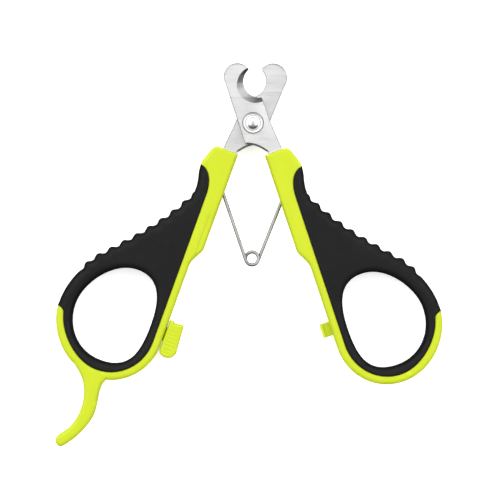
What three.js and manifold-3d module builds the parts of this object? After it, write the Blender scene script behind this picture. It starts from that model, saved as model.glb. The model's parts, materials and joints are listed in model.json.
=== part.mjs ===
// Scissor nail clipper: two riveted blades with round notches, overmoulded handles, a torsion spring and a lock.
//
// The origin is on the pivot axis, at the flat rear end of the rivet. +Z points to the front, +Y from the
// pivot towards the blade tips, and the clipper lies open. Lengths are millimetres.
//
// Each half is drawn in its own handle coordinates: u outwards from the half's centre line and v down the
// handle, with the pivot at (0, 0). w = u - edge is counted from the handle's straight inner edge. headTurn is
// how many degrees a blade's head is turned about the pivot against its handle, away from the other blade's, and
// nose is the radius of the blade's tip.
import * as THREE from 'three';
import { mergeVertices } from 'three/addons/utils/BufferGeometryUtils.js';
import Module from 'manifold-3d';

const wasm = await Module();
wasm.setup();

// Driving dimensions
const LEFT = { mirror: -1, tilt: THREE.MathUtils.degToRad(-19.9), edge: 1.15, headTurn: 3.3, nose: 4.75 };
const RIGHT = { mirror: 1, tilt: THREE.MathUtils.degToRad(18.4), edge: 0.35, headTurn: 0, nose: 4.5 };
const BLADE_THICKNESS = 2;
const CAP_THICKNESS = 0.8;         // rear end of the rivet
const WASHER_THICKNESS = 0.5;
const RUNNING_GAP = 0.06;          // between the blades, and round the rivet's shank
const MOULD_GAP = 0.1;             // between a moulding and what it is moulded over
const CORE_HALF = 4.5;             // half the thickness of the hard plastic
const GRIP_HALF = 5;               // half the thickness of the soft grip
const WEB_HALF = 2.8;              // half the thickness of the core under the grip
const WEB_INSET = 1.6;             // how far the web stays inside the grip's outline
const SHANK_RADIUS = 1.6;
const HEAD_RADIUS = 2.1;
const HEAD_HEIGHT = 0.6;
const WASHER_RADIUS = 3.55;
const RIPPLE_HEIGHT = 0.52;        // finger ripples on the grip's outer edge
const RIPPLE_PITCH = 4.77;
const RIPPLE_PHASE = 5;            // distance from the ripple line's start to the first peak
const WIRE_RADIUS = 0.55;
const COIL_RADIUS = 2.15;          // to the wire's centre
const WIRE_PITCH = 1.25;           // from one turn of the coil to the next
const SOCKET_LEFT = [2.9, 23.46];  // (u, v) of the spring's end in the left handle
const SOCKET_RIGHT = [2.3, 25.95];
const LOCK_PLAY = 0.2;             // sliding clearance in the lock
const LOCK_HALF = 3.4;             // half the slider's thickness
const NOTCH = { u: 6.3, v: -12.4, radius: 5.3 };
const LAND = 0.25;                 // height of the cutting edge below the bevel
const BEVEL_RADIUS = 6.2;          // of the bevel where it meets the blade's outer face
const BEVEL_LEAN = [0.89, 0.34];   // how far the bevel's cone leans in u and v for each millimetre of height

const REAR_BLADE_Z = CAP_THICKNESS + WASHER_THICKNESS;
const FRONT_BLADE_Z = REAR_BLADE_Z + BLADE_THICKNESS + RUNNING_GAP;
const WASHER_Z = FRONT_BLADE_Z + BLADE_THICKNESS + RUNNING_GAP;
const MIDDLE_Z = REAR_BLADE_Z + BLADE_THICKNESS + RUNNING_GAP / 2;

// ---------------------------------------------------------------- solids

/** A closed geometry as a solid that can be joined and cut. */
function toSolid(geometry) {
  geometry.deleteAttribute('normal');
  geometry.deleteAttribute('uv');
  const merged = mergeVertices(geometry, 1e-4);
  const vertProperties = new Float32Array(merged.attributes.position.array);
  const triVerts = new Uint32Array(merged.index.array);
  return new wasm.Manifold(new wasm.Mesh({ numProp: 3, vertProperties, triVerts }));
}

/** A solid as a geometry. */
function toGeometry(solid) {
  const { vertProperties, triVerts } = solid.getMesh();
  const geometry = new THREE.BufferGeometry();
  geometry.setAttribute('position', new THREE.BufferAttribute(vertProperties, 3));
  geometry.setIndex(new THREE.BufferAttribute(triVerts, 1));
  geometry.computeVertexNormals();
  return geometry;
}

/** An outline in handle coordinates, extruded from z = low to z = high in the half's own frame. */
function prism(side, outline, low, high) {
  const points = outline.map(([u, v]) => new THREE.Vector2(side.mirror * u, -v));
  const geometry = new THREE.ExtrudeGeometry(new THREE.Shape(points), { depth: high - low, bevelEnabled: false });
  return toSolid(geometry.translate(0, 0, low));
}

/** A round peg or hole on an axis along Z at (u, v). */
function peg(side, [u, v], radius, low, high, segments = 24) {
  const geometry = new THREE.CylinderGeometry(radius, radius, high - low, segments).rotateX(Math.PI / 2);
  return toSolid(geometry.translate(side.mirror * u, -v, (low + high) / 2));
}

/** A turned piece on the pivot axis, from a profile of [radius, z] points that starts and ends on the axis
 *  or closes on itself. */
function turned(profile, segments = 32) {
  const points = profile.map(([radius, z]) => new THREE.Vector2(radius, z));
  return toSolid(new THREE.LatheGeometry(points, segments).rotateX(Math.PI / 2));
}

/** A tube of the spring's wire along a curve. */
function wire(curve, steps) {
  const section = new THREE.Shape().absarc(0, 0, WIRE_RADIUS, 0, 2 * Math.PI);
  const points = new THREE.Shape(section.getPoints(4).slice(0, -1));
  return toSolid(new THREE.ExtrudeGeometry(points, { steps, bevelEnabled: false, extrudePath: curve }));
}

// ---------------------------------------------------------------- outlines

/** Points of a path drawn in (first, second) handle coordinates, without a repeated last point. */
function sampled(path, divisions) {
  const points = path.getPoints(divisions).map((p) => [p.x, p.y]);
  const [first, last] = [points[0], points.at(-1)];
  if (Math.hypot(first[0] - last[0], first[1] - last[1]) < 1e-3) points.pop();
  return points.filter(([x, y], i) => i === 0 || Math.hypot(x - points[i - 1][0], y - points[i - 1][1]) > 1e-3);
}

/** The closed outline moved outwards by a distance, or inwards when it is negative, with mitred corners. */
function offset(outline, distance) {
  const points = outline.map(([x, y]) => new THREE.Vector2(x, y));
  const outward = Math.sign(THREE.ShapeUtils.area(points)) * distance;
  return points.map((point, i) => {
    const into = point.clone().sub(points.at(i - 1)).normalize();
    const away = points[(i + 1) % points.length].clone().sub(point).normalize();
    const normal = new THREE.Vector2(into.y + away.y, -into.x - away.x).normalize();
    const halfTurn = Math.sqrt((1 + into.dot(away)) / 2);
    const moved = point.clone().addScaledVector(normal, outward / Math.max(halfTurn, 0.5));
    return [moved.x, moved.y];
  });
}

/** An outline in (w, v) as an outline in (u, v) for one side. */
function onSide(side, outline) {
  return outline.map(([w, v]) => [w + side.edge, v]);
}

// The scalloped outer edge, from the waist of the handle to the top of the ring.
const RIPPLE_LINE = new THREE.CatmullRomCurve3(
  [[9.4, 28], [10.3, 30.3], [14.3, 37.2], [20.3, 45.3], [26.95, 52.9], [33.7, 60.5], [36.4, 65.9]].map(
    ([w, v]) => new THREE.Vector3(w, v, 0),
  ),
);

/** The outer edge's points from its top to its bottom, with ripples of the given height. */
function rippleEdge(height) {
  const length = RIPPLE_LINE.getLength();
  const steps = Math.round((length / RIPPLE_PITCH) * 8);
  return Array.from({ length: steps + 1 }, (_, i) => {
    const along = (length * i) / steps;
    const point = RIPPLE_LINE.getPointAt(i / steps);
    const direction = RIPPLE_LINE.getTangentAt(i / steps);
    const fade = Math.min(1, (2 * along) / RIPPLE_PITCH, (2 * (length - along)) / RIPPLE_PITCH);
    const lift = height * fade * Math.cos((2 * Math.PI * (along - RIPPLE_PHASE)) / RIPPLE_PITCH);
    return [point.x + direction.y * lift, point.y - direction.x * lift];
  });
}

// The grip meets the bare plastic on the handle's outer edge at these two places.
const GRIP_TOP = [10.5, 18.9];
const GRIP_END = [39.1, 78.6];

/** The outer edge that the grip covers, from GRIP_TOP to GRIP_END, with ripples of the given height. */
function grippedEdge(height) {
  const waist = new THREE.Path().moveTo(...GRIP_TOP);
  waist.bezierCurveTo(10.6, 22, 9.1, 24, 9.4, 28);
  const ring = new THREE.Path().moveTo(36.4, 65.9);
  ring.bezierCurveTo(38.2, 69.6, 39.3, 74, ...GRIP_END);
  return [...sampled(waist, 5).slice(0, -1), ...rippleEdge(height), ...sampled(ring, 8).slice(1)];
}

/** The handle's outline in (w, v). */
function handleOutline() {
  const top = new THREE.Path().moveTo(0, 11.6);
  top.lineTo(6.7, 11.3);
  top.bezierCurveTo(8, 11.3, 8.6, 12.3, 9.2, 14);
  top.bezierCurveTo(9.75, 15.7, 10.4, 17.2, ...GRIP_TOP);
  const ring = new THREE.Path().moveTo(...GRIP_END);
  ring.bezierCurveTo(38.3, 88.1, 29.9, 97.1, 19.7, 97.1);
  ring.bezierCurveTo(10.3, 97.1, 2.7, 89.5, 2.7, 80);
  ring.lineTo(2.7, 51.8);
  ring.bezierCurveTo(2.6, 49.2, 0.6, 47.2, 0, 45.2);
  return [...sampled(top, 5).slice(0, -1), ...grippedEdge(0), ...sampled(ring, 9).slice(1)];
}

/** The soft grip's outline in (w, v): its border with the bare plastic, then its outer edge. */
function gripOutline(height) {
  const border = new THREE.Path().moveTo(...GRIP_END);
  border.bezierCurveTo(37.5, 79, 36.6, 79.2, 36.3, 80.6);
  border.bezierCurveTo(34.6, 87.1, 27.3, 94.4, 19.7, 94.4);
  border.bezierCurveTo(11.8, 94.4, 5.35, 87.8, 5.35, 79.5);
  border.lineTo(5.35, 28);
  border.bezierCurveTo(5.4, 22.4, 7.4, 19.4, ...GRIP_TOP);
  return [...sampled(border, 9).slice(0, -1), ...grippedEdge(height).slice(0, -1)];
}

/** The finger hole's outline in (w, v). */
function fingerHole() {
  const path = new THREE.Path().moveTo(7.9, 74.6);
  path.bezierCurveTo(7.9, 84.8, 10.1, 91.35, 19.7, 91.35);
  path.bezierCurveTo(28, 91.35, 33.95, 84.8, 33.95, 76.4);
  path.bezierCurveTo(33.95, 68.7, 26.4, 58.85, 18.1, 58.85);
  path.bezierCurveTo(9.1, 58.85, 7.9, 67.5, 7.9, 74.6);
  return sampled(path, 11);
}

/** The left handle's curved finger rest, in (u, v). Its upper end lies inside the ring. */
function tailOutline() {
  const path = new THREE.Path().moveTo(31.2, 93);
  path.bezierCurveTo(28.6, 95.5, 24.9, 97.2, 23.2, 100.8);
  path.bezierCurveTo(22, 103.3, 21.1, 106.3, 21.45, 110);
  path.bezierCurveTo(21.7, 113.3, 22.9, 116.3, 25.6, 119.4);
  path.bezierCurveTo(26.7, 120.8, 24.7, 123.4, 23.1, 122.4);
  path.bezierCurveTo(19.6, 118.5, 17.2, 113.6, 16.8, 109.2);
  path.bezierCurveTo(16.5, 104.8, 19, 99.8, 16.8, 96.6);
  path.lineTo(22, 93.4);
  path.lineTo(29, 91.5);
  return sampled(path, 7);
}

/** A blade's outline in (u, v), down to the end of the tang inside the handle. */
function bladeOutline(side) {
  const nose = new THREE.Path().absarc(-0.1, -11.8 - side.nose, side.nose, Math.PI - 0.2, 2 * Math.PI - 0.3);
  const notch = new THREE.Path().absarc(NOTCH.u, NOTCH.v, NOTCH.radius, THREE.MathUtils.degToRad(-112), 1.74, true);
  const neck = new THREE.Path().moveTo(1.6, 11);
  neck.quadraticCurveTo(-1, 7, -4.7, 5.9);
  const inner = side.edge + 4;
  const turn = THREE.MathUtils.degToRad(side.headTurn);
  const [c, s] = [Math.cos(turn), Math.sin(turn)];
  const head = [...sampled(nose, 14), ...sampled(notch, 20)];
  return [
    ...head.map(([u, v]) => [c * u + s * v, c * v - s * u]),
    [5.5, -5.4], [5.55, 1], [6.4, 10.6], [6.6, 14],
    [inner + 3.2, 22], [inner + 3.2, 33], [inner, 33], [inner, 22.5], [1.9, 19.5],
    ...sampled(neck, 8),
  ];
}

// ---------------------------------------------------------------- blades and pivot

const TANG_HOLES = (side) => [[side.edge + 5.6, 29.5], [4.4, 16]];

/** A blade with its pivot bore, its tang's holes and the bevel ground round the notch on its outer face. */
function blade(side, low, outerFace) {
  let solid = prism(side, bladeOutline(side), low, low + BLADE_THICKNESS);
  solid = solid.subtract(peg(side, [0, 0], SHANK_RADIUS + RUNNING_GAP, low - 1, low + BLADE_THICKNESS + 1, 32));
  for (const place of TANG_HOLES(side)) {
    solid = solid.subtract(peg(side, place, 1.2, low - 1, low + BLADE_THICKNESS + 1));
  }
  // The grinding cone stands on the cutting edge and leans back from it, so the bevel is a crescent.
  const edgeZ = outerFace > 0 ? low + LAND : low + BLADE_THICKNESS - LAND;
  const cone = new THREE.CylinderGeometry(BEVEL_RADIUS, NOTCH.radius, BLADE_THICKNESS, 40);
  cone.rotateX((outerFace * Math.PI) / 2).translate(0, 0, (outerFace * BLADE_THICKNESS) / 2);
  cone.applyMatrix4(new THREE.Matrix4().makeShear(
    0, 0, 0, 0, -side.mirror * outerFace * BEVEL_LEAN[0], -outerFace * BEVEL_LEAN[1],
  ));
  cone.translate(side.mirror * NOTCH.u, -NOTCH.v, edgeZ);
  cone.rotateZ(side.mirror * THREE.MathUtils.degToRad(side.headTurn));
  return solid.subtract(toSolid(cone));
}

/** The rivet: a domed head in front, and a shank through both blades. */
function rivet() {
  const dome = Array.from({ length: 7 }, (_, i) => {
    const angle = (Math.PI / 2) * (i / 6);
    return [HEAD_RADIUS * Math.cos(angle), WASHER_Z + WASHER_THICKNESS + 0.1 + HEAD_HEIGHT * Math.sin(angle)];
  });
  dome[6][0] = 0;
  const seat = WASHER_Z + WASHER_THICKNESS + RUNNING_GAP;
  return turned([[0, 0.3], [SHANK_RADIUS, 0.3], [SHANK_RADIUS, seat], [HEAD_RADIUS, seat], ...dome]);
}

/** A flat washer with a broken outer edge. */
function washer(low, bevelAbove) {
  const bore = SHANK_RADIUS + RUNNING_GAP;
  const high = low + WASHER_THICKNESS;
  const [lower, upper] = bevelAbove ? [0, 0.25] : [0.25, 0];
  return turned([
    [bore, low], [WASHER_RADIUS - lower, low], [WASHER_RADIUS, low + 0.25], [WASHER_RADIUS - upper, high],
    [bore, high], [bore, low],
  ]);
}

/** The closed rear end of the rivet: a flat cap with a socket for the shank. */
function rearCap() {
  const socket = SHANK_RADIUS + RUNNING_GAP;
  const top = CAP_THICKNESS - RUNNING_GAP;
  return turned([
    [0, 0], [2.4, 0], [2.9, 0.25], [2.9, top], [socket, top], [socket, 0.24], [0, 0.24],
  ]);
}

// ---------------------------------------------------------------- handles

/** The groove in the handle's inner edge that the spring's leg and coil fold into. */
function springGroove(side) {
  const depth = 3.2;
  const outline = onSide(side, [[-2, 21.8], [depth - 0.8, 21.8], [depth, 22.6], [depth, 53.5], [-2, 53.5]]);
  const half = 2.1 * WIRE_PITCH;
  return prism(side, outline, MIDDLE_Z - half, MIDDLE_Z + half);
}

/** The rail on the left handle that the lock slides on: a neck and a wider head. */
function lockRail() {
  const neck = prism(LEFT, [[2.4, 73.5], [4.6, 73.5], [4.6, 78.2], [2.4, 78.2]], MIDDLE_Z - 1, MIDDLE_Z + 1);
  const head = prism(LEFT, [[1.5, 73.5], [2.5, 73.5], [2.5, 78.2], [1.5, 78.2]], MIDDLE_Z - 2, MIDDLE_Z + 2);
  return neck.add(head);
}

/** The T-shaped catch on the right handle: a neck and a head that the lock traps. */
function lockCatch() {
  const neck = prism(RIGHT, [[0.4, 70.5], [3.4, 70.5], [3.4, 75.2], [0.4, 75.2]], MIDDLE_Z - 1, MIDDLE_Z + 1);
  const head = prism(RIGHT, [[-0.3, 70.5], [0.5, 70.5], [0.5, 75.2], [-0.3, 75.2]], MIDDLE_Z - 2, MIDDLE_Z + 2);
  return neck.add(head);
}

/** The hard core of a handle: full thickness where it shows, and a thinner web under the grip. */
function core(side) {
  const [low, high] = [MIDDLE_Z - CORE_HALF, MIDDLE_Z + CORE_HALF];
  const outer = onSide(side, handleOutline());
  const hole = onSide(side, fingerHole());
  const grip = onSide(side, gripOutline(0));
  let solid = prism(side, outer, low, high);
  if (side === LEFT) solid = solid.add(prism(side, tailOutline(), low, high));
  solid = solid.subtract(prism(side, offset(grip, MOULD_GAP), low - 1, high + 1));
  let web = prism(side, offset(outer, -WEB_INSET), MIDDLE_Z - WEB_HALF, MIDDLE_Z + WEB_HALF);
  web = web.subtract(prism(side, offset(hole, WEB_INSET), low, high));
  for (const place of onSide(side, MOULD_KEYS)) web = web.subtract(peg(side, place, 2, low, high));
  solid = solid.add(web);
  solid = solid.subtract(tangPocket(side)).subtract(springGroove(side));
  return solid.add(side === LEFT ? lockRail() : lockCatch());
}

// Holes in the web that the soft material fills, so that it can't peel off.
const MOULD_KEYS = [[13.2, 42], [12.2, 51], [20.5, 52]];

/** The space that a blade's tang fills in the core, with the plastic pegs through the tang left standing. */
function tangPocket(side) {
  const low = side === LEFT ? REAR_BLADE_Z : FRONT_BLADE_Z;
  const [bottom, top] = [low - MOULD_GAP, low + BLADE_THICKNESS + MOULD_GAP];
  let pocket = prism(side, offset(bladeOutline(side), MOULD_GAP), bottom, top);
  for (const place of TANG_HOLES(side)) {
    pocket = pocket.subtract(peg(side, place, 1.2 - MOULD_GAP, bottom - 1, top + 1));
  }
  return pocket;
}

/** The soft grip: moulded round the core's web, with the finger hole through it. */
function softGrip(side) {
  const [low, high] = [MIDDLE_Z - GRIP_HALF, MIDDLE_Z + GRIP_HALF];
  const hole = onSide(side, fingerHole());
  const inset = WEB_INSET - MOULD_GAP;
  const half = WEB_HALF + MOULD_GAP;
  let cavity = prism(side, offset(onSide(side, handleOutline()), -inset), MIDDLE_Z - half, MIDDLE_Z + half);
  cavity = cavity.subtract(prism(side, offset(hole, inset), low, high));
  for (const place of onSide(side, MOULD_KEYS)) {
    cavity = cavity.subtract(peg(side, place, 2 - MOULD_GAP, low, high));
  }
  const body = prism(side, onSide(side, gripOutline(RIPPLE_HEIGHT)), low, high);
  return body.subtract(prism(side, hole, low - 1, high + 1)).subtract(cavity);
}

// ---------------------------------------------------------------- lock

/** The sliding lock: it runs on the left rail, and its open side takes the right handle's catch. */
function lockSlider() {
  const path = new THREE.Path().moveTo(3.6, 71);
  path.lineTo(3.6, 80.8);
  path.bezierCurveTo(3.6, 83.9, -2, 83.9, -2, 80.2);
  path.lineTo(-1.3, 71.1);
  path.lineTo(1.9, 71.5);
  path.lineTo(2.1, 70.9);
  let solid = prism(LEFT, sampled(path, 8), MIDDLE_Z - LOCK_HALF, MIDDLE_Z + LOCK_HALF);
  const cut = (u0, u1, v0, v1, half) => {
    const outline = [[u0, v0], [u1, v0], [u1, v1], [u0, v1]];
    solid = solid.subtract(prism(LEFT, outline, MIDDLE_Z - half - LOCK_PLAY, MIDDLE_Z + half + LOCK_PLAY));
  };
  cut(2.2, 4, 73.3, 90, 1);                              // neck of the rail
  cut(1.5 - LOCK_PLAY, 2.5 + LOCK_PLAY, 73.3, 90, 2);    // head of the rail
  cut(-0.5 - LOCK_PLAY, 0.3 + LOCK_PLAY, 60, 80.2, 2);   // head of the catch, when it is locked
  cut(-3, 0.3, 60, 80.2, 1);                             // neck of the catch
  cut(-3, 0.3, 60, 75.6, 2);                             // where the catch goes in
  return solid;
}

// ---------------------------------------------------------------- spring

/** A point of a half, in handle coordinates, in the clipper's own frame. */
function inFrame(side, [u, v]) {
  return new THREE.Vector3(side.mirror * u, -v, 0).applyAxisAngle(new THREE.Vector3(0, 0, 1), side.tilt);
}

// The pivot, the two sockets and the coil's centre are the corners of a parallelogram, so that the arms
// turn by the same angle as the handles.
const socketLeft = inFrame(LEFT, SOCKET_LEFT);
const socketRight = inFrame(RIGHT, SOCKET_RIGHT);
const coilCentre = socketLeft.clone().add(socketRight);

/** The wire from a socket to the coil and round it. sense is +1 where it winds anticlockwise. */
function springArm(socket, sense, turns, startZ, pitch) {
  const spoke = socket.clone().sub(coilCentre);
  const reach = spoke.length();
  const lean = Math.acos(COIL_RADIUS / reach);
  const start = Math.atan2(spoke.y, spoke.x) - sense * lean;
  const onCoil = (angle, z) => new THREE.Vector3(
    coilCentre.x + COIL_RADIUS * Math.cos(angle), coilCentre.y + COIL_RADIUS * Math.sin(angle), z,
  );
  class Arm extends THREE.Curve {
    getPoint(t, target = new THREE.Vector3()) {
      const straight = Math.sqrt(reach ** 2 - COIL_RADIUS ** 2);
      const round = 2 * Math.PI * COIL_RADIUS * turns;
      const along = t * (straight + round);
      if (along < straight) {
        const end = new THREE.Vector3(socket.x, socket.y, startZ);
        return target.lerpVectors(end, onCoil(start, startZ), along / straight);
      }
      const wound = (along - straight) / COIL_RADIUS;
      return target.copy(onCoil(start - sense * wound, startZ + (pitch * wound) / (2 * Math.PI)));
    }
  }
  return new Arm();
}

// ---------------------------------------------------------------- assembly

const limePlastic = { color: 0xd8ee2c, roughness: 0.45, metalness: 0 };
const softBlack = { color: 0x262626, roughness: 0.85, metalness: 0 };
const polishedSteel = { color: 0xdcdcdc, roughness: 0.28, metalness: 1 };
const springSteel = { color: 0xb8b8b8, roughness: 0.3, metalness: 1 };

/** A named mesh of one solid. */
function mesh(name, solid, finish) {
  const result = new THREE.Mesh(toGeometry(solid), new THREE.MeshStandardMaterial(finish));
  result.name = name;
  return result;
}

const leftHalf = new THREE.Group();
leftHalf.rotation.z = LEFT.tilt;
leftHalf.add(
  mesh('rear_blade', blade(LEFT, REAR_BLADE_Z, -1), polishedSteel),
  mesh('left_core', core(LEFT), limePlastic),
  mesh('left_grip', softGrip(LEFT), softBlack),
  mesh('lock_slider', lockSlider(), limePlastic),
);

const rightHalf = new THREE.Group();
rightHalf.rotation.z = RIGHT.tilt;
rightHalf.add(
  mesh('front_blade', blade(RIGHT, FRONT_BLADE_Z, 1), polishedSteel),
  mesh('right_core', core(RIGHT), limePlastic),
  mesh('right_grip', softGrip(RIGHT), softBlack),
);

const clipper = new THREE.Group();
const frontCoilZ = MIDDLE_Z + 1.2 * WIRE_PITCH;
const rearCoilZ = MIDDLE_Z - 1.2 * WIRE_PITCH;
clipper.add(
  leftHalf,
  rightHalf,
  mesh('pivot_rivet', rivet(), polishedSteel),
  mesh('pivot_washer_front', washer(WASHER_Z, true), polishedSteel),
  mesh('pivot_washer_rear', washer(CAP_THICKNESS, false), polishedSteel),
  mesh('pivot_rear_cap', rearCap(), polishedSteel),
  mesh('spring_left_arm', wire(springArm(socketLeft, -1, 1.4, frontCoilZ, -WIRE_PITCH), 48), springSteel),
  mesh('spring_right_arm', wire(springArm(socketRight, 1, 0.4, rearCoilZ, 0), 24), springSteel),
);

export default clipper;
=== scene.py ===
"""Scissor nail clipper: the looks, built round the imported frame.

Each moulded and ground piece takes its outline from a cut through its CAD node, so it fits its place,
and gets rounded edges, a parting line and a finish of its own. Lengths in mm are multiplied by MM.
"""
import json
import math

import bmesh
import bpy
import numpy as np
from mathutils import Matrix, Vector, geometry


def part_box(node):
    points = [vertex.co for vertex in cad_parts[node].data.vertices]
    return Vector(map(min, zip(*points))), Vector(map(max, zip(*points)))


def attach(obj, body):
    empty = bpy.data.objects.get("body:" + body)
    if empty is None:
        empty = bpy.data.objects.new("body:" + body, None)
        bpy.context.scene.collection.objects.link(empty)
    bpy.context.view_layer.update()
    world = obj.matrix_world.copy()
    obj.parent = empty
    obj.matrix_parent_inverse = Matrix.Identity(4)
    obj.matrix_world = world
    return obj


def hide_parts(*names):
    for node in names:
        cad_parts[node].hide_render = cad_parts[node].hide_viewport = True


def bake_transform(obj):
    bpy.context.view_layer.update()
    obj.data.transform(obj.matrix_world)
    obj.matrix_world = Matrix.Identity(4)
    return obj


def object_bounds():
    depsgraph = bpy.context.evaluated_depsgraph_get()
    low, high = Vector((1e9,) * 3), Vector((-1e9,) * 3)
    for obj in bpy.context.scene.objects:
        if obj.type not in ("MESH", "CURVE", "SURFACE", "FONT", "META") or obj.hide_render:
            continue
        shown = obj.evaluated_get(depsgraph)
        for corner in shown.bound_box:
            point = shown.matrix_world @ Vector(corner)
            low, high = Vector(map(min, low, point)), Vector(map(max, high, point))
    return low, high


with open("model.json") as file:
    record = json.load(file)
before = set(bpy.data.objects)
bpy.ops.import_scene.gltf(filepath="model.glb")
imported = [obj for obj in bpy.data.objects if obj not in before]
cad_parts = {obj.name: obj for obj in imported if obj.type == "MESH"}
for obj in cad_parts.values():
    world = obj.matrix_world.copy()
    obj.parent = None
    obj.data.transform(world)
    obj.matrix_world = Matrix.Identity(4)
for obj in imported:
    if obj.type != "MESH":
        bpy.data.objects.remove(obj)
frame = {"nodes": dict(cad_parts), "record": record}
cad_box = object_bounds()

MM = 0.001
JOINTS = {joint["name"]: joint for joint in frame["record"]["behaviour"]["joints"]}
RAIL = JOINTS["lock_slide"]["axis"]
LEFT_TILT = -math.atan2(RAIL[0], RAIL[1])
RIGHT_TILT = math.radians(JOINTS["handle_pivot"]["range_deg"][1]) + LEFT_TILT
LEFT = {"name": "left", "mirror": -1, "tilt": LEFT_TILT, "edge": 1.15, "head_turn": math.radians(3.3)}
RIGHT = {"name": "right", "mirror": 1, "tilt": RIGHT_TILT, "edge": 0.35, "head_turn": 0}


def low_z(node):
    """A CAD node's lowest height, in mm."""
    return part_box(node)[0][2] / MM


def high_z(node):
    """A CAD node's highest height, in mm."""
    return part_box(node)[1][2] / MM


MIDDLE = (high_z("rear_blade") + low_z("front_blade")) / 2
CORE_HALF = high_z("left_core") - MIDDLE
GRIP_HALF = high_z("left_grip") - MIDDLE
LOCK_HALF = high_z("lock_slider") - MIDDLE


# ---------------------------------------------------------------- outlines

def section(node, z):
    """The closed loops, in mm and longest first, where a CAD node is cut at height z."""
    solid = bmesh.new()
    solid.from_mesh(frame["nodes"][node].data)
    bmesh.ops.remove_doubles(solid, verts=solid.verts, dist=1e-7)
    parts = [*solid.verts, *solid.edges, *solid.faces]
    cut = bmesh.ops.bisect_plane(solid, geom=parts, plane_co=(0, 0, z * MM), plane_no=(0, 0, 1), dist=1e-8)
    edges = [e for e in cut["geom_cut"] if isinstance(e, bmesh.types.BMEdge)]
    beside = {}
    for edge in edges:
        a, b = edge.verts
        beside.setdefault(a, []).append(b)
        beside.setdefault(b, []).append(a)
    loops, seen = [], set()
    for start in beside:
        loop, here = [], start
        while here is not None and here not in seen:
            seen.add(here)
            loop.append((here.co.x / MM, here.co.y / MM))
            here = next((v for v in beside[here] if v not in seen), None)
        if len(loop) > 2:
            loops.append(without_straight_points(np.array(loop)))
    solid.free()
    return sorted(loops, key=lambda loop: -perimeter(loop))


def perimeter(loop):
    return np.linalg.norm(np.roll(loop, -1, axis=0) - loop, axis=1).sum()


def turns(loop):
    """The angle by which a loop turns at each point, in radians."""
    ahead = np.roll(loop, -1, axis=0) - loop
    behind = loop - np.roll(loop, 1, axis=0)
    cross = behind[:, 0] * ahead[:, 1] - behind[:, 1] * ahead[:, 0]
    return np.arctan2(cross, (behind * ahead).sum(1))


def without_straight_points(loop):
    return loop[np.abs(turns(loop)) > math.radians(0.4)]


def anticlockwise(loop):
    return loop if turns(loop).sum() > 0 else loop[::-1]


def smoothed(loop, step, corner=40):
    """A loop through the same points as a smooth curve, with its corners and long straight runs kept."""
    count = len(loop)
    ahead = np.roll(loop, -1, axis=0) - loop
    length = np.linalg.norm(ahead, axis=1)
    direction = ahead / length[:, None]
    is_corner = np.abs(turns(loop)) > math.radians(corner)
    points = []
    for i in range(count):
        j = (i + 1) % count
        ends = []
        for at, before, after in ((i, (i - 1) % count, i), (j, i, j)):
            if is_corner[at]:
                tangent = direction[i]
            elif length[before] > 3 * length[after]:
                tangent = direction[before]
            elif length[after] > 3 * length[before]:
                tangent = direction[after]
            else:
                tangent = direction[before] * length[after] + direction[after] * length[before]
                tangent = tangent / np.linalg.norm(tangent)
            ends.append(tangent * length[i])
        pieces = max(1, round(length[i] / step))
        for t in np.arange(pieces) / pieces:
            points.append(
                loop[i] * (2 * t**3 - 3 * t**2 + 1) + ends[0] * (t**3 - 2 * t**2 + t)
                + loop[j] * (3 * t**2 - 2 * t**3) + ends[1] * (t**3 - t**2)
            )
    return np.array(points)


def normals(loop):
    """The unit vectors that point inwards from an anticlockwise loop, one at each point."""
    chord = np.roll(loop, -1, axis=0) - np.roll(loop, 1, axis=0)
    chord /= np.linalg.norm(chord, axis=1)[:, None]
    return np.stack([-chord[:, 1], chord[:, 0]], axis=1)


def inset(loop, distance):
    """An anticlockwise loop moved inwards by a distance, or by one distance for each point."""
    return loop + normals(loop) * np.reshape(distance, (-1, 1))


def in_frame(side, outline):
    """Points (w, v) of a handle, w out from its inner edge and v down from the pivot, in the part's frame."""
    outline = np.asarray(outline, float)
    x = side["mirror"] * (outline[:, 0] + side["edge"])
    y = -outline[:, 1]
    c, s = math.cos(side["tilt"]), math.sin(side["tilt"])
    return np.stack([c * x - s * y, s * x + c * y], axis=1)


def on_handle(side, points):
    """The (w, v) of points in the part's frame."""
    c, s = math.cos(side["tilt"]), math.sin(side["tilt"])
    x = c * points[:, 0] + s * points[:, 1]
    y = -s * points[:, 0] + c * points[:, 1]
    return np.stack([side["mirror"] * x - side["edge"], -y], axis=1)


def distances(points, loop):
    """The distance from each point to each stretch of a loop."""
    start = loop[None]
    run = (np.roll(loop, -1, axis=0) - loop)[None]
    to = points[:, None] - start
    along = np.clip((to * run).sum(2) / (run * run).sum(2), 0, 1)
    return np.linalg.norm(to - along[..., None] * run, axis=2)


def inside(points, loops):
    """Whether each point is inside the first loop and outside the others."""
    result = np.zeros(len(points), bool)
    for loop in loops:
        a, b = loop, np.roll(loop, -1, axis=0)
        x, y = points[:, :1], points[:, 1:]
        crosses = (a[None, :, 1] > y) != (b[None, :, 1] > y)
        rise = b[:, 1] - a[:, 1]
        rise = np.where(rise == 0, 1e-12, rise)
        hit = crosses & (x < (b[:, 0] - a[:, 0]) * (y - a[:, 1]) / rise + a[:, 0])
        result ^= (hit.sum(1) % 2).astype(bool)
    return result


# ---------------------------------------------------------------- meshes

def new_object(name, vertices, faces, sharp=38):
    """A smooth-shaded mesh object from points in mm, with edges above an angle left sharp."""
    mesh = bpy.data.meshes.new(name)
    mesh.from_pydata([tuple(c * MM for c in v) for v in vertices], [], faces)
    obj = bpy.data.objects.new(name, mesh)
    bpy.context.collection.objects.link(obj)
    tidy_normals(obj, sharp)
    return obj


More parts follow.
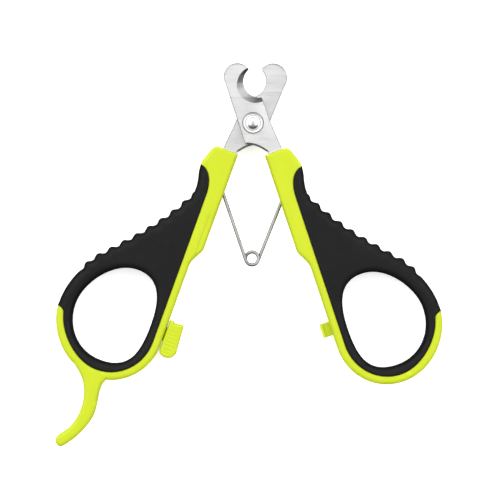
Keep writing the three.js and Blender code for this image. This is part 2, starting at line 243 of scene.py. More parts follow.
def tidy_normals(obj, sharp):
    work = bmesh.new()
    work.from_mesh(obj.data)
    bmesh.ops.remove_doubles(work, verts=work.verts, dist=2e-7)
    bmesh.ops.recalc_face_normals(work, faces=work.faces)
    for face in work.faces:
        face.smooth = True
    work.to_mesh(obj.data)
    work.free()
    obj.data.set_sharp_from_angle(angle=math.radians(sharp))


# Fractions of an edge's radius at which rings of points follow the outline, closest at the edge.
RINGS = (0.04, 0.13, 0.26, 0.42, 0.6, 0.8, 1.0)
EDGE_CLEARANCE = 0.03                    # how near a ring may come to an outline, as a share of the rim
CROWDING = 0.09                          # the least distance between two inner points, in mm
PARTING_REACH = 2.2                      # half a parting line's height, in depths of it


def inner_points(loops, rims, grid, creases):
    """Points inside the first loop and outside the others: along creases, along the rims and on a grid."""
    inner = []
    for loop, rim in zip(loops, rims):
        inward = normals(loop) * (1 if loop is loops[0] else -1)
        for fraction in RINGS:
            inner.append(loop + inward * rim[:, :1] * fraction)
    low, high = loops[0].min(0), loops[0].max(0)
    across = np.arange(low[0], high[0], grid) + grid / 3
    up = np.arange(low[1], high[1], grid * 0.87)
    inner.append(np.array([(x + (row % 2) * grid / 2, y) for row, y in enumerate(up) for x in across]))
    inner = np.concatenate([*creases, *inner])
    inner = inner[inside(inner, loops)]
    clear = np.min([distances(inner, loop).min(1) for loop in loops], axis=0)
    narrowest = np.array([rim[:, 0].min() for rim in rims]).min()
    return thinned(inner[clear > EDGE_CLEARANCE * narrowest])


def thinned(inner):
    """Drops points that crowd each other, such as where rings from two sides of a narrow place meet."""
    cells, kept = {}, []
    for i, point in enumerate(inner):
        key = (round(point[0] / CROWDING), round(point[1] / CROWDING))
        near = (cells.get((key[0] + a, key[1] + b)) for a in (-1, 0, 1) for b in (-1, 0, 1))
        if any(k is not None and np.hypot(*(inner[k] - point)) < CROWDING for k in near):
            continue
        cells[key] = i
        kept.append(i)
    return inner[kept]


def pillow(name, loops, middle, half, rims, grid=3.0, detail=None, parting=0.0, creases=(), flat_rim=False):
    """A flat moulding between z = middle - half and middle + half, with rounded edges.

    rims holds, for each loop, the (radius, drop) of the edge at every point: how far in the rounding
    reaches and how far it falls. detail gives an extra fall at (x, y), and creases are lines of points where
    it changes. parting is the depth of the moulding line round the middle of the side wall. flat_rim makes
    the edges chamfers.
    """
    edges, bounds, points = [], [], []
    for loop in loops:
        first = len(points)
        points.extend(loop)
        bounds.append(range(first, len(points)))
        edges.extend((first + i, first + (i + 1) % len(loop)) for i in range(len(loop)))
    radius = [(r[:, 0] + np.roll(r[:, 0], -1)) / 2 for r in rims]
    drop = [(r[:, 1] + np.roll(r[:, 1], -1)) / 2 for r in rims]
    points = np.concatenate([np.array(points), inner_points(loops, rims, grid, creases)])
    flat, _, faces, origins, _, _ = geometry.delaunay_2d_cdt([Vector(p) for p in points], edges, [], 0, 1e-6)
    flat = np.array([tuple(p) for p in flat])
    place = {old: new for new, olds in enumerate(origins) for old in olds}
    faces = np.array([face for face in faces if len(face) == 3])
    faces = faces[inside(flat[faces].mean(1), loops)]
    fall = np.zeros(len(flat))
    for loop, r, d in zip(loops, radius, drop):
        reach = np.clip(1 - distances(flat, loop) / r, 0, 1)
        share = reach if flat_rim else 1 - np.sqrt(1 - reach**2)
        fall = np.maximum(fall, (d * share).max(1))
    if detail:
        fall = fall + detail(flat)
    count = len(flat)
    vertices = [(x, y, middle + half - f) for (x, y), f in zip(flat, fall)]
    vertices += [(x, y, middle - half + f) for (x, y), f in zip(flat, fall)]
    solid = [tuple(f) for f in faces] + [tuple(count + i for i in f[::-1]) for f in faces]
    for loop, bound in zip(loops, bounds):
        ring = [place[i] for i in bound]
        levels = [ring]
        if parting:
            inward = normals(loop) * (1 if loop is loops[0] else -1)
            reach = PARTING_REACH * parting
            for height, depth in ((reach, 0), (0, parting), (-reach, 0)):
                first = len(vertices)
                vertices += [(x, y, middle + height) for x, y in loop + inward * depth]
                levels.append(list(range(first, first + len(loop))))
        levels.append([count + i for i in ring])
        for upper, lower in zip(levels, levels[1:]):
            for i in range(len(ring)):
                j = (i + 1) % len(ring)
                solid.append((upper[i], upper[j], lower[j], lower[i]))
    return new_object(name, vertices, solid)


def even_rim(loop, radius, drop):
    """The same rounding all round a loop."""
    return np.tile([radius, drop], (len(loop), 1))


def mixed_rim(loop, seam, free, at_seam):
    """One rounding along a seam and another on the free edge, with a short change between them."""
    rim = np.where(at_seam[:, None], seam, free).astype(float)
    for _ in range(4):
        rim = (np.roll(rim, 1, axis=0) + 2 * rim + np.roll(rim, -1, axis=0)) / 4
    return rim


def prism(name, outline, low, high):
    """A plain closed prism, used as a cutter or joined to another piece."""
    count = len(outline)
    outline = anticlockwise(np.asarray(outline))
    vertices = [(x, y, z) for z in (low, high) for x, y in outline]
    faces = [tuple(range(count))[::-1], tuple(range(count, 2 * count))]
    faces += [(i, (i + 1) % count, count + (i + 1) % count, count + i) for i in range(count)]
    return new_object(name, vertices, faces)


def bevelled(obj, width, segments=3):
    """Rounds every edge of a simple piece."""
    work = bmesh.new()
    work.from_mesh(obj.data)
    bmesh.ops.bevel(
        work, geom=list(work.edges), offset=width * MM, segments=segments, profile=0.5, affect="EDGES"
    )
    work.to_mesh(obj.data)
    work.free()
    return obj


def combine(obj, other, operation, sharp=38):
    """Cuts another mesh from obj, or joins it, and removes the other."""
    modifier = obj.modifiers.new("combine", "BOOLEAN")
    modifier.operation = operation
    modifier.solver = "EXACT"
    modifier.object = other
    result = bpy.data.meshes.new_from_object(obj.evaluated_get(bpy.context.evaluated_depsgraph_get()))
    obj.modifiers.clear()
    obj.data = result
    bpy.data.objects.remove(other)
    tidy_normals(obj, sharp)
    return obj


def lathe(name, profile, segments=72, sharp=30):
    """A turned piece on the pivot axis, from (radius, z) points in mm: from axis to axis, or round a bore."""
    vertices, faces = [], []
    closed = profile[0][0] > 0
    rings = []
    for radius, z in profile:
        first = len(vertices)
        if radius == 0:
            vertices.append((0, 0, z))
            rings.append([first] * segments)
            continue
        angles = 2 * math.pi * np.arange(segments) / segments
        vertices += [(radius * math.cos(a), radius * math.sin(a), z) for a in angles]
        rings.append(list(range(first, first + segments)))
    pairs = list(zip(rings, rings[1:])) + ([(rings[-1], rings[0])] if closed else [])
    for lower, upper in pairs:
        for i in range(segments):
            j = (i + 1) % segments
            corners = dict.fromkeys((lower[i], lower[j], upper[j], upper[i]))
            if len(corners) > 2:
                faces.append(tuple(corners))
    return new_object(name, vertices, faces, sharp)


def arc(centre, radius, start, end, steps=6):
    """(radius, z) points of an arc, angles in degrees from the outward direction."""
    angles = np.radians(np.linspace(start, end, steps + 1))
    return [(centre[0] + radius * math.cos(a), centre[1] + radius * math.sin(a)) for a in angles]


def tube(name, path, radius, sides=20):
    """A round wire along a path of points in mm, with rounded ends."""
    path = np.array(path)
    tangent = np.gradient(path, axis=0)
    tangent /= np.linalg.norm(tangent, axis=1)[:, None]
    up = np.array([0, 0, 1.0])
    caps = [(0.0, 0.0), (0.5, 0.13), (0.86, 0.5), (1.0, 1.0)]
    rings = []
    for t, grow in caps[:-1]:
        rings.append((path[0] - tangent[0] * radius * 0.5 * (1 - grow), tangent[0], radius * max(t, 0.02)))
    rings += [(p, t, radius) for p, t in zip(path, tangent)]
    for t, grow in caps[-2::-1]:
        rings.append((path[-1] + tangent[-1] * radius * 0.5 * (1 - grow), tangent[-1], radius * max(t, 0.02)))
    vertices, faces = [], []
    for centre, direction, size in rings:
        across = np.cross(direction, up)
        across /= np.linalg.norm(across)
        over = np.cross(across, direction)
        for k in range(sides):
            angle = 2 * math.pi * k / sides
            vertices.append(tuple(centre + size * (math.cos(angle) * across + math.sin(angle) * over)))
    for ring in range(len(rings) - 1):
        for k in range(sides):
            a, b = ring * sides + k, ring * sides + (k + 1) % sides
            faces.append((a, b, b + sides, a + sides))
    last = (len(rings) - 1) * sides
    faces += [tuple(range(sides)), tuple(range(last, last + sides))[::-1]]
    return new_object(name, vertices, faces, 60)


# ---------------------------------------------------------------- materials

class Finish:
    """A material with helpers that add nodes and join them to the shader."""

    def __init__(self, name, colour, roughness, metallic=0.0, **constants):
        self.material = bpy.data.materials.new(name)
        self.material.use_nodes = True
        self.tree = self.material.node_tree
        self.shader = self.tree.nodes["Principled BSDF"]
        self.shader.inputs["Base Color"].default_value = (*colour, 1)
        self.shader.inputs["Roughness"].default_value = roughness
        self.shader.inputs["Metallic"].default_value = metallic
        for socket, value in constants.items():
            self.shader.inputs[socket.replace("_", " ")].default_value = value
        self.place = self.tree.nodes.new("ShaderNodeTexCoord").outputs["Object"]

    def node(self, kind, inputs=None, **settings):
        node = self.tree.nodes.new(kind)
        for key, value in settings.items():
            setattr(node, key, value)
        for key, value in (inputs or {}).items():
            if isinstance(value, bpy.types.NodeSocket):
                self.tree.links.new(value, node.inputs[key])
            else:
                node.inputs[key].default_value = value
        return node

    def noise(self, scale, detail=3.0, stretch=(1, 1, 1), turn=0.0):
        """Noise with its grain size set by scale, in cells per metre, stretched along a turned axis."""
        mapping = self.node(
            "ShaderNodeMapping", {"Vector": self.place, "Scale": stretch, "Rotation": (0, 0, turn)}
        )
        noise = self.node(
            "ShaderNodeTexNoise",
            {"Vector": mapping.outputs["Vector"], "Scale": scale, "Detail": detail, "Roughness": 0.6},
        )
        return noise.outputs["Fac"]

    def ranged(self, value, low, high, start=0.3, end=0.7):
        """A value from start to end mapped to low to high."""
        node = self.node(
            "ShaderNodeMapRange",
            {"Value": value, "From Min": start, "From Max": end, "To Min": low, "To Max": high},
        )
        return node.outputs["Result"]

    def mixed(self, factor, first, second):
        """A colour between two, by factor."""
        node = self.node("ShaderNodeMix", data_type="RGBA")
        self.tree.links.new(factor, node.inputs["Factor"])
        for index, colour in ((6, first), (7, second)):
            if isinstance(colour, bpy.types.NodeSocket):
                self.tree.links.new(colour, node.inputs[index])
            else:
                node.inputs[index].default_value = (*colour, 1)
        return node.outputs[2]

    def painted_edge_highlight(self, sharpness=0.06):
        """About 1 on convex edges and 0 elsewhere: the mask for a highlight painted along them."""
        pointiness = self.node("ShaderNodeNewGeometry").outputs["Pointiness"]
        return self.ranged(pointiness, 0, 1, 0.5 + sharpness / 4, 0.5 + sharpness)

    def join(self, socket, value):
        self.tree.links.new(value, self.shader.inputs[socket])

    def bumps(self, *layers):
        """Bumps from (height, strength, distance in mm) layers, one on another."""
        normal = None
        for height, strength, distance in layers:
            inputs = {"Height": height, "Strength": strength, "Distance": distance * MM}
            if normal is not None:
                inputs["Normal"] = normal
            normal = self.node("ShaderNodeBump", inputs).outputs["Normal"]
        self.join("Normal", normal)


LIME = (0.50, 0.59, 0.010)
# The paler lime painted on convex edges as a highlight.
LIME_HIGHLIGHT = (0.55, 0.64, 0.016)
LIME_DEEP = (0.47, 0.56, 0.008)


def lime_plastic():
    """Satin hard plastic with a fine moulded grain, faint flow marks and a painted highlight along its convex
    edges.
    """
    finish = Finish("lime_plastic", LIME, 0.4, Subsurface_Weight=0.06, Subsurface_Scale=0.001, IOR=1.47,
                    Specular_IOR_Level=0.35)
    finish.shader.inputs["Subsurface Radius"].default_value = (0.9, 1.0, 0.25)
    flow = finish.noise(90, 4, (1, 0.35, 1))
    colour = finish.mixed(finish.ranged(flow, 0, 1), LIME_DEEP, LIME)
    # Paler lime on convex edges: a painted highlight.
    colour = finish.mixed(finish.painted_edge_highlight(0.08), colour, LIME_HIGHLIGHT)
    finish.join("Base Color", colour)
    grain = finish.noise(5200, 2)
    finish.join("Roughness", finish.ranged(finish.noise(700, 3), 0.34, 0.5))
    finish.bumps((grain, 0.12, 0.03), (flow, 0.08, 0.12))
    return finish.material


def black_rubber():
    """Matte soft plastic with an eroded texture, a little dust in it and slightly polished high spots."""
    finish = Finish("black_tpr", (0.004, 0.004, 0.004), 0.6, IOR=1.5, Specular_IOR_Level=0.16)
    cloud = finish.noise(60, 4)
    speck = finish.noise(3800, 2)
    colour = finish.mixed(finish.ranged(cloud, 0, 1), (0.0035, 0.0035, 0.004), (0.006, 0.006, 0.0065))
    colour = finish.mixed(finish.ranged(speck, 0, 0.6, 0.55, 0.8), colour, (0.014, 0.014, 0.015))
    finish.join("Base Color", colour)
    finish.join("Roughness", finish.ranged(finish.noise(420, 3), 0.48, 0.66))
    finish.bumps((speck, 0.35, 0.05), (finish.noise(900, 3), 0.2, 0.08))
    return finish.material


def ground_steel(name, turn, tone):
    """Blade steel: ground across its length, with fine streaks, a few longer scratches and a painted
    highlight along its convex edges.
    """
    finish = Finish(name, (tone, tone, tone), 0.3, 1.0, Anisotropic=0.35)
    streaks = finish.noise(1500, 4, (0.05, 1, 0.05), turn)
    scratches = finish.noise(420, 2, (0.04, 1, 0.04), turn + 0.5)
    colour = finish.mixed(finish.ranged(streaks, 0, 1), [tone * 0.97] * 3, [tone * 1.03] * 3)
    # Paler steel on convex edges: a painted highlight.
    colour = finish.mixed(finish.painted_edge_highlight(0.05), colour, [tone * 1.15] * 3)
    finish.join("Base Color", colour)
    finish.join("Roughness", finish.ranged(streaks, 0.26, 0.4))
    finish.bumps((streaks, 0.10, 0.012), (scratches, 0.02, 0.005))
    return finish.material


def polished_steel():
    """Rivet steel: barrel polished, with faint tool rings."""
    finish = Finish("rivet_steel", (0.72, 0.72, 0.72), 0.16, 1.0)
    haze = finish.noise(800, 3)
    finish.join("Roughness", finish.ranged(haze, 0.11, 0.24))
    finish.join("Base Color", finish.mixed(finish.ranged(haze, 0, 1), (0.68, 0.68, 0.69), (0.76, 0.76, 0.77)))
    rings = finish.node("ShaderNodeTexWave", {"Vector": finish.place, "Scale": 700, "Distortion": 0.4},
                        wave_type="RINGS", rings_direction="Z")
    finish.bumps((rings.outputs["Fac"], 0.05, 0.01))
    return finish.material


def drawn_wire():
    """Spring wire: grey, with drawing lines and slightly darker patches."""
    finish = Finish("spring_steel", (0.32, 0.32, 0.32), 0.38, 1.0)
    patches = finish.noise(260, 3)
    lines = finish.noise(2600, 2, (1, 1, 0.2))
    colour = finish.mixed(finish.ranged(patches, 0, 1), (0.28, 0.28, 0.28), (0.37, 0.37, 0.37))
    finish.join("Base Color", colour)
    finish.join("Roughness", finish.ranged(patches, 0.3, 0.46))
    finish.bumps((lines, 0.12, 0.015))
    return finish.material


# Both blades are the same steel; the rear blade's darker tone (0.61 against 0.68) is painted shade.
STEEL = {
    "front": ground_steel("blade_steel_front", -RIGHT_TILT, 0.68),
    "rear": ground_steel("blade_steel_rear_shaded", -LEFT_TILT, 0.61),
}
RIVET = polished_steel()
WIRE = drawn_wire()
PLASTIC = lime_plastic()
RUBBER = black_rubber()


def finished(piece, material, slot, body, *nodes):
    """Gives a piece its material, its body and the CAD nodes that it stands for."""
    piece.data.materials.clear()
    piece.data.materials.append(material)
    if body:
        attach(piece, body)
    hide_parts(*nodes)
    return piece


# ---------------------------------------------------------------- blades

BEVEL_LAND = 0.25
NOTCH = {"w": 6.3, "v": -12.4, "radius": 5.3}
BEVEL = {"radius": 6.1, "w": 4.74, "v": -11.8}
BLADE_RIM = (0.26, 0.2)                  # reach and drop of a blade's broken edges
BLADE_RIM_GAIN = (0.34, 0.19)            # and how much more they are round the nose and in the arc

# The line (w, v) scored across both faces of a blade where its handle is moulded on.
SCORE = [[-2, 11.51], [7.5, 11.09]]
SCORE_HALF = 0.22
SCORE_DEPTH = 0.3


def blade(side, node, outer, name, material):
    """A blade with broken edges and the crescent bevel ground behind its round cutting edge."""
    low, high = low_z(node), high_z(node)
    cut = low + BEVEL_LAND / 2 if outer > 0 else high - BEVEL_LAND / 2
    loops = section(node, cut)
    loops = [smoothed(anticlockwise(loop), 0.35) for loop in loops]
    rims = [blade_rim(side, loop) for loop in loops]
    piece = pillow(name, loops, (low + high) / 2, (high - low) / 2, rims, 2.5, flat_rim=True)
    face, edge = (high, low + BEVEL_LAND) if outer > 0 else (low, high - BEVEL_LAND)
    piece = combine(piece, bevel_cutter(side, edge, face), "DIFFERENCE", 20)
    for face_z, sense in ((low, -1), (high, 1)):
        piece = combine(piece, score_cutter(in_frame(side, SCORE), face_z, sense), "DIFFERENCE", 20)
    return finished(piece, material, "blade_steel", side["name"] + "_half", node)


def blade_rim(side, loop):
    """Broken edges, broader round the nose and in the arc between the handles."""
    u, v = on_handle(dict(side, edge=0), loop).T
    arc_edge = np.clip((v - 4.5) / 1.5, 0, 1) * np.clip((2.2 - u) / 1.0, 0, 1)
    nose_edge = np.clip((-17.5 - v) / 1.5, 0, 1)
    broad = np.maximum(arc_edge, nose_edge)
    return np.stack([base + gain * broad for base, gain in zip(BLADE_RIM, BLADE_RIM_GAIN)], axis=1)


def score_cutter(line, face_z, sense):
    """A wedge along a line, which cuts a groove into the face at face_z; sense is the way the face points."""
    along = (line[1] - line[0]) / np.linalg.norm(line[1] - line[0])
    across = np.array([-along[1], along[0]]) * SCORE_HALF * 2
    clear_of = face_z + sense * SCORE_DEPTH
    vertices = []
    for end in line:
        vertices += [(*(end + across), clear_of), (*(end - across), clear_of)]
        vertices.append((*end, face_z - sense * SCORE_DEPTH))
    faces = [(0, 1, 2), (5, 4, 3), (0, 3, 4, 1), (1, 4, 5, 2), (2, 5, 3, 0)]
    return new_object("score_cutter", vertices, faces)


def bevel_cutter(side, edge_z, face_z, segments=160):
    """The leaning cone between the cutting edge and the bevel's outline on the blade's outer face."""
    beyond = 1.3
    plain = dict(side, edge=0, tilt=side["tilt"] + side["mirror"] * side["head_turn"])
    start = in_frame(plain, [[NOTCH["w"], NOTCH["v"]]])[0]
    end = in_frame(plain, [[BEVEL["w"], BEVEL["v"]]])[0]
    vertices = []
    for t in (0, beyond):
        centre = start + (end - start) * t
        radius = NOTCH["radius"] + (BEVEL["radius"] - NOTCH["radius"]) * t
        z = edge_z + (face_z - edge_z) * t
        for k in range(segments):
            angle = 2 * math.pi * k / segments
            vertices.append((centre[0] + radius * math.cos(angle), centre[1] + radius * math.sin(angle), z))
    faces = [tuple(range(segments)), tuple(range(segments, 2 * segments))[::-1]]
    for k in range(segments):
        j = (k + 1) % segments
        faces.append((k, j, segments + j, segments + k))
    return new_object("bevel_cutter", vertices, faces)


# ---------------------------------------------------------------- handles

GROOVE = [[-2, 21.8], [2.4, 21.8], [3.2, 22.6], [3.2, 53.5], [-2, 53.5]]
GROOVE_HALF = 2.625
SEAM_REACH = 0.35                        # outlines nearer than this to each other share a seam
SEAM_OVERLAP = 0.06                      # how far each of the two mouldings grows there
GRIP_INSET = 0.08
CORE_INSET = 0.03
OUTLINE_DEPTH = 0.3                      # below a moulding's face, where its outline is taken

# Reach and drop of the rounded edges, along a seam and where they are free.
GRIP_SEAM_RIM, GRIP_RIM, HOLE_RIM = (0.5, 0.35), (2.7, 1.9), (2.3, 1.7)
CORE_SEAM_RIM, CORE_RIM = (0.35, 0.3), (1.25, 1.1)
CORE_TOP = 12.2                          # the core's edge is crisp above this v, where the blade enters


def seam_points(loop, other):
    """Which points of a loop lie against another loop."""
    return distances(loop, other).min(1) < SEAM_REACH


def handle(side):
    """The hard core and the soft grip of one handle."""
    name = side["name"]
    core_loop = anticlockwise(section(name + "_core", MIDDLE + CORE_HALF - OUTLINE_DEPTH)[0])
    grip_loops = section(name + "_grip", MIDDLE + GRIP_HALF - OUTLINE_DEPTH)
    grip_loops = [smoothed(anticlockwise(loop), 0.45) for loop in grip_loops[:2]]
    core_loop = smoothed(core_loop, 0.5, 34)
    seam = [seam_points(grip_loops[0], core_loop), seam_points(core_loop, grip_loops[0])]
    grip_loops[0] = inset(grip_loops[0], np.where(seam[0], -SEAM_OVERLAP, GRIP_INSET))
    core_loop = inset(core_loop, np.where(seam[1], -SEAM_OVERLAP, CORE_INSET))

    outer, hole = grip_loops
    rims = [mixed_rim(outer, GRIP_SEAM_RIM, GRIP_RIM, seam[0]), even_rim(hole, *HOLE_RIM)]
    grip = pillow(name + "_soft_grip", [outer, hole], MIDDLE, GRIP_HALF, rims, 2.4, parting=0.05)
    finished(grip, RUBBER, "black_tpr", name + "_half", name + "_grip")

    crisp = seam[1] | (on_handle(side, core_loop)[:, 1] < CORE_TOP)
    rim = mixed_rim(core_loop, CORE_SEAM_RIM, CORE_RIM, crisp)
    facet, creases = None, ()
    if side is LEFT:
        facet = left_facet
        runs = np.arange(FACET[2], FACET[3], 0.5)
        creases = [in_frame(LEFT, np.stack([np.full_like(runs, w), runs], axis=1)) for w in FACET_EDGE]
    core = pillow(
        name + "_hard_core", [core_loop], MIDDLE, CORE_HALF, [rim], 2.0, facet, parting=0.045, creases=creases
    )
    groove = prism("groove", in_frame(side, GROOVE), MIDDLE - GROOVE_HALF, MIDDLE + GROOVE_HALF)
    core = combine(core, groove, "DIFFERENCE")
    for outline, half, bevel in TRIM[name]:
        trim = prism("trim", in_frame(dict(side, edge=0), outline), MIDDLE - half, MIDDLE + half)
        core = combine(core, bevelled(trim, bevel), "UNION")
    finished(core, PLASTIC, "lime_plastic", name + "_half", name + "_core")


# A shallow facet on the left core beside its inner edge, from (w, v) and to (w, v).
FACET = (1.9, 2.3, 31.0, 50.5)
FACET_EDGE = (FACET[0], (FACET[0] + FACET[1]) / 2, FACET[1])
FACET_DEPTH = 0.3


def left_facet(points):
    """How far the left core falls at each point: the facet's depth on it, with short slopes to 0 round it."""
    w, v = on_handle(LEFT, points).T
    across = np.clip((FACET[1] - w) / (FACET[1] - FACET[0]), 0, 1)
    along = np.clip((v - FACET[2]) / 4, 0, 1) * np.clip((FACET[3] - v) / 1.5, 0, 1)
    return FACET_DEPTH * (across * along)


# The T-shaped rail and catch that stand on the inner edges: outline in (u, v), half height, edge radius.
TRIM = {
    "left": [
        ([[2.4, 73.5], [4.9, 73.5], [4.9, 78.2], [2.4, 78.2]], 1.0, 0.1),
        ([[1.5, 73.5], [2.5, 73.5], [2.5, 78.2], [1.5, 78.2]], 2.0, 0.12),
    ],
    "right": [
        ([[0.3, 70.5], [3.8, 70.5], [3.8, 75.2], [0.3, 75.2]], 1.0, 0.15),
        ([[-0.3, 70.5], [0.5, 70.5], [0.5, 75.2], [-0.3, 75.2]], 2.0, 0.2),
    ],
}


# ---------------------------------------------------------------- lock

LOCK_CUTS = [
    # (u from, u to, v from, v to, half height)
    (2.2, 4.0, 73.3, 90.0, 1.2),
    (1.3, 2.7, 73.3, 90.0, 2.2),
    (-0.7, 0.5, 60.0, 80.2, 2.2),
    (-3.0, 0.3, 60.0, 80.2, 1.2),
    (-3.0, 0.3, 60.0, 75.6, 2.2),
]
LOCK_RIM = (0.75, 0.7)
RIB_PITCH = 1.25
RIB_DEPTH = 0.1
RIB_FIELD = (-1.2, 2.7, 73.6, 82.4)      # u from, u to, v from, v to
RIB_FADES = (0.6, 0.8)                   # how quickly the ribs fade in at the field's sides and ends


def ribs(points):
    """How far the lock's face falls at each point, between its thumb ribs."""
    u0, u1, v0, v1 = RIB_FIELD
    u, v = on_handle(dict(LEFT, edge=0), points).T
    window = np.clip((v - v0) / RIB_FADES[1], 0, 1) * np.clip((v1 - v) / RIB_FADES[1], 0, 1)
    window *= np.clip((u - u0) / RIB_FADES[0], 0, 1) * np.clip((u1 - u) / RIB_FADES[0], 0, 1)
    return RIB_DEPTH * window * (0.5 - 0.5 * np.cos(2 * math.pi * (v - v0) / RIB_PITCH))


def lock():
    """The sliding lock, with thumb ribs on both faces, the rail's channel and the catch's pocket."""
    loop = smoothed(anticlockwise(section("lock_slider", MIDDLE + LOCK_HALF - OUTLINE_DEPTH)[0]), 0.3, 34)
    piece = pillow("sliding_lock", [loop], MIDDLE, LOCK_HALF, [even_rim(loop, *LOCK_RIM)], 0.28, ribs, 0.04)
    for u0, u1, v0, v1, half in LOCK_CUTS:
        outline = in_frame(dict(LEFT, edge=0), [[u0, v0], [u1, v0], [u1, v1], [u0, v1]])
        piece = combine(piece, prism("slot", outline, MIDDLE - half, MIDDLE + half), "DIFFERENCE")
    finished(piece, PLASTIC, "lime_plastic", "lock", "lock_slider")


# ---------------------------------------------------------------- pivot

BORE = 1.66                              # radius of the washers' and the cap's bores
DOME_BALL = 3.0                          # radius of the head's domed top
DOME_SLOPE = math.radians(33)            # its slope where the skirt begins
SKIRT_STRAIGHT = 0.25                    # the skirt goes on straight so far, then flattens out


def pivot():
    """The rivet with its domed head, the two washers and the closed rear end."""
    seat = low_z("pivot_washer_front")
    top = high_z("pivot_washer_front")
    crown = high_z("pivot_rivet")
    foot = DOME_BALL * math.sin(DOME_SLOPE)
    brink = crown - DOME_BALL * (1 - math.cos(DOME_SLOPE))
    skirt = [
        (foot + x, brink - (x - max(x - SKIRT_STRAIGHT, 0) ** 2 / 0.9) * math.tan(DOME_SLOPE))
        for x in (0.7, 0.63, 0.55, 0.46, 0.36, 0.25, 0.12)
    ]
    dish = skirt[0][1]
    washer = lathe(
        "front_washer",
        [(BORE, seat), (3.5, seat), (3.55, seat + 0.06), (3.55, top - 0.17), (3.33, top - 0.005),
         (3.25, top - 0.01), (3.0, top - 0.07), (2.8, top - 0.12), (2.6, dish + 0.03), (2.4, dish),
         (BORE, dish)],
    )
    finished(washer, RIVET, "rivet_steel", "left_half", "pivot_washer_front")

    dome = [*skirt, *arc((0, crown - DOME_BALL), DOME_BALL, 57, 90, 14)[:-1], (0, crown)]
    shank = low_z("pivot_rivet")
    head = lathe("rivet", [(0, shank), (1.4, shank), (1.6, shank + 0.2), (1.6, dish), *dome])
    finished(head, RIVET, "rivet_steel", "left_half", "pivot_rivet")

    low, high = low_z("pivot_washer_rear"), high_z("pivot_washer_rear")
    ring = lathe(
        "rear_washer",
        [(BORE, low), (3.1, low), (3.4, low + 0.08), *arc((3.4, high - 0.15), 0.15, -50, 90, 5),
         (BORE, high)],
    )
    finished(ring, RIVET, "rivet_steel", "left_half", "pivot_washer_rear")

    high = high_z("pivot_rear_cap")
    cap = lathe(
        "rear_cap",
        [(0, 0.12), (1.1, 0.12), (1.35, 0), (2.2, 0), *arc((2.45, 0.42), 0.42, -80, 0, 6),
         (2.87, high - 0.05), (2.8, high), (BORE, high), (BORE, 0.24), (0, 0.24)],
    )
    finished(cap, RIVET, "rivet_steel", "left_half", "pivot_rear_cap")


# ---------------------------------------------------------------- spring

WIRE_RADIUS = 0.55
COIL_RADIUS = 2.15
COIL_TURNS = 2
COIL_HALF = 1.5                          # half the height that the wire's centre climbs in the coil
COIL_EASE = 0.12                         # how much slower it climbs at the coil's ends
LEG_STEPS, COIL_STEPS = 24, 112


def spring():
    """One wire: a leg to each handle and a coil between."""
    left = np.array(JOINTS["spring_left_swing"]["pos_m"][:2]) / MM
    centre = np.array(JOINTS["spring_coil_flex"]["pos_m"][:2]) / MM
    right = centre - left                # the pivot, the sockets and the coil make a parallelogram
    starts = []
    for socket, sense in ((left, -1), (right, 1)):
        spoke = socket - centre
        lean = math.acos(COIL_RADIUS / np.hypot(*spoke))
        starts.append(math.atan2(spoke[1], spoke[0]) - sense * lean)
    sweep = (starts[1] - starts[0]) % (2 * math.pi) + 2 * math.pi * COIL_TURNS
    path = []
    for t in np.linspace(0, 1, LEG_STEPS)[:-1]:
        end = centre + COIL_RADIUS * np.array([math.cos(starts[0]), math.sin(starts[0])])
        path.append((*(left + (end - left) * t), MIDDLE + COIL_HALF))
    for t in np.linspace(0, 1, COIL_STEPS):
        angle = starts[0] + sweep * t
        ease = t - math.sin(2 * math.pi * t) / (2 * math.pi) * COIL_EASE
        path.append((
            centre[0] + COIL_RADIUS * math.cos(angle), centre[1] + COIL_RADIUS * math.sin(angle),
            MIDDLE + COIL_HALF * (1 - 2 * ease),
        ))
    for t in np.linspace(0, 1, LEG_STEPS)[1:]:
        start = centre + COIL_RADIUS * np.array([math.cos(starts[1]), math.sin(starts[1])])
        path.append((*(start + (right - start) * t), MIDDLE - COIL_HALF))
    wire = tube("return_spring", path, WIRE_RADIUS)
    finished(wire, WIRE, "spring_steel", None, "spring_left_arm", "spring_right_arm")
    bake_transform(wire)


# ---------------------------------------------------------------- stage

# The tent's brightness is a product of steps: (from, to, value before, value after) along Z or Y.
TENT_RISE = (0.3, 0.62, 0.07, 2.9)
TENT_TOP = (0.78, 0.94, 1.0, 0.34)
TENT_CARD = (-0.68, -0.05, 0.08, 1.0)
FRAME_WIDTH = 500 / 3                    # what the camera sees, in mm
VIEW_CENTRE = (-1.0, -42.17)


def area_light(name, place, target, size, power):
    """A rectangular lamp, size in metres and power in watts, turned towards a target."""
    data = bpy.data.lights.new(name, "AREA")
    data.shape = "RECTANGLE"
    data.size, data.size_y = size
    data.energy = power
    light = bpy.data.objects.new(name, data)
    bpy.context.collection.objects.link(light)
    light.location = place
    light.rotation_euler = (Vector(target) - Vector(place)).to_track_quat("-Z", "Y").to_euler()


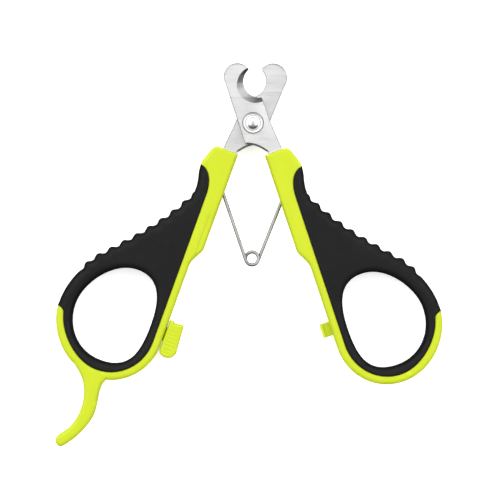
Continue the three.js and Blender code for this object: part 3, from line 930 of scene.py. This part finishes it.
def studio_world():
    """A white tent, brightest halfway up, dark at the horizon and darker still on the handles' side."""
    world = bpy.data.worlds.new("studio")
    world.use_nodes = True
    tree = world.node_tree
    direction = tree.nodes.new("ShaderNodeTexCoord").outputs["Generated"]
    axes = tree.nodes.new("ShaderNodeSeparateXYZ")
    tree.links.new(direction, axes.inputs["Vector"])
    stops = [("Z", TENT_RISE), ("Z", TENT_TOP), ("Y", TENT_CARD)]
    product = None
    for axis, (start, end, low, high) in stops:
        step = tree.nodes.new("ShaderNodeMapRange")
        step.interpolation_type = "SMOOTHSTEP"
        for socket, value in (("From Min", start), ("From Max", end), ("To Min", low), ("To Max", high)):
            step.inputs[socket].default_value = value
        tree.links.new(axes.outputs[axis], step.inputs["Value"])
        if product is None:
            product = step.outputs["Result"]
            continue
        times = tree.nodes.new("ShaderNodeMath")
        times.operation = "MULTIPLY"
        tree.links.new(product, times.inputs[0])
        tree.links.new(step.outputs["Result"], times.inputs[1])
        product = times.outputs["Value"]
    tree.links.new(product, tree.nodes["Background"].inputs["Strength"])
    tree.nodes["Background"].inputs["Color"].default_value = (1, 1, 1, 1)
    return world


def stage():
    """A pale floor that the grips rest on, soft light, and the camera straight in front of the clipper."""
    floor_z = float(cad_box[0][2]) - 0.02 * MM
    bpy.ops.mesh.primitive_plane_add(size=6, location=(0, 0, floor_z))
    floor = bpy.context.object
    floor.name = "floor"
    pale = Finish("pale_floor", (0.97, 0.97, 0.97), 0.9)
    pale.shader.inputs["Specular IOR Level"].default_value = 0.1
    pale.shader.inputs["Emission Color"].default_value = (1, 1, 1, 1)
    pale.shader.inputs["Emission Strength"].default_value = 0.55
    floor.data.materials.append(pale.material)
    floor.visible_glossy = False         # mirrored by nothing, as if it lay far below the clipper

    bpy.context.scene.world = studio_world()
    middle = (0, -0.045, 0)
    area_light("key", (-0.45, 0.45, 0.70), middle, (0.5, 0.5), 1.6)
    area_light("fill", (0.60, 0.10, 0.55), middle, (0.6, 0.6), 0.6)

    bpy.context.scene.view_settings.view_transform = "Standard"
    data = bpy.data.cameras.new("camera")
    data.sensor_width = 36
    distance = 1.0
    data.lens = data.sensor_width * distance / (FRAME_WIDTH * MM)
    data.clip_start, data.clip_end = 0.01, 10
    camera = bpy.data.objects.new("camera", data)
    bpy.context.collection.objects.link(camera)
    camera.location = (VIEW_CENTRE[0] * MM, VIEW_CENTRE[1] * MM, distance)
    bpy.context.scene.camera = camera


stage()
blade(RIGHT, "front_blade", 1, "front_blade_ground", STEEL["front"])
blade(LEFT, "rear_blade", -1, "rear_blade_ground", STEEL["rear"])
handle(LEFT)
handle(RIGHT)
lock()
pivot()
spring()
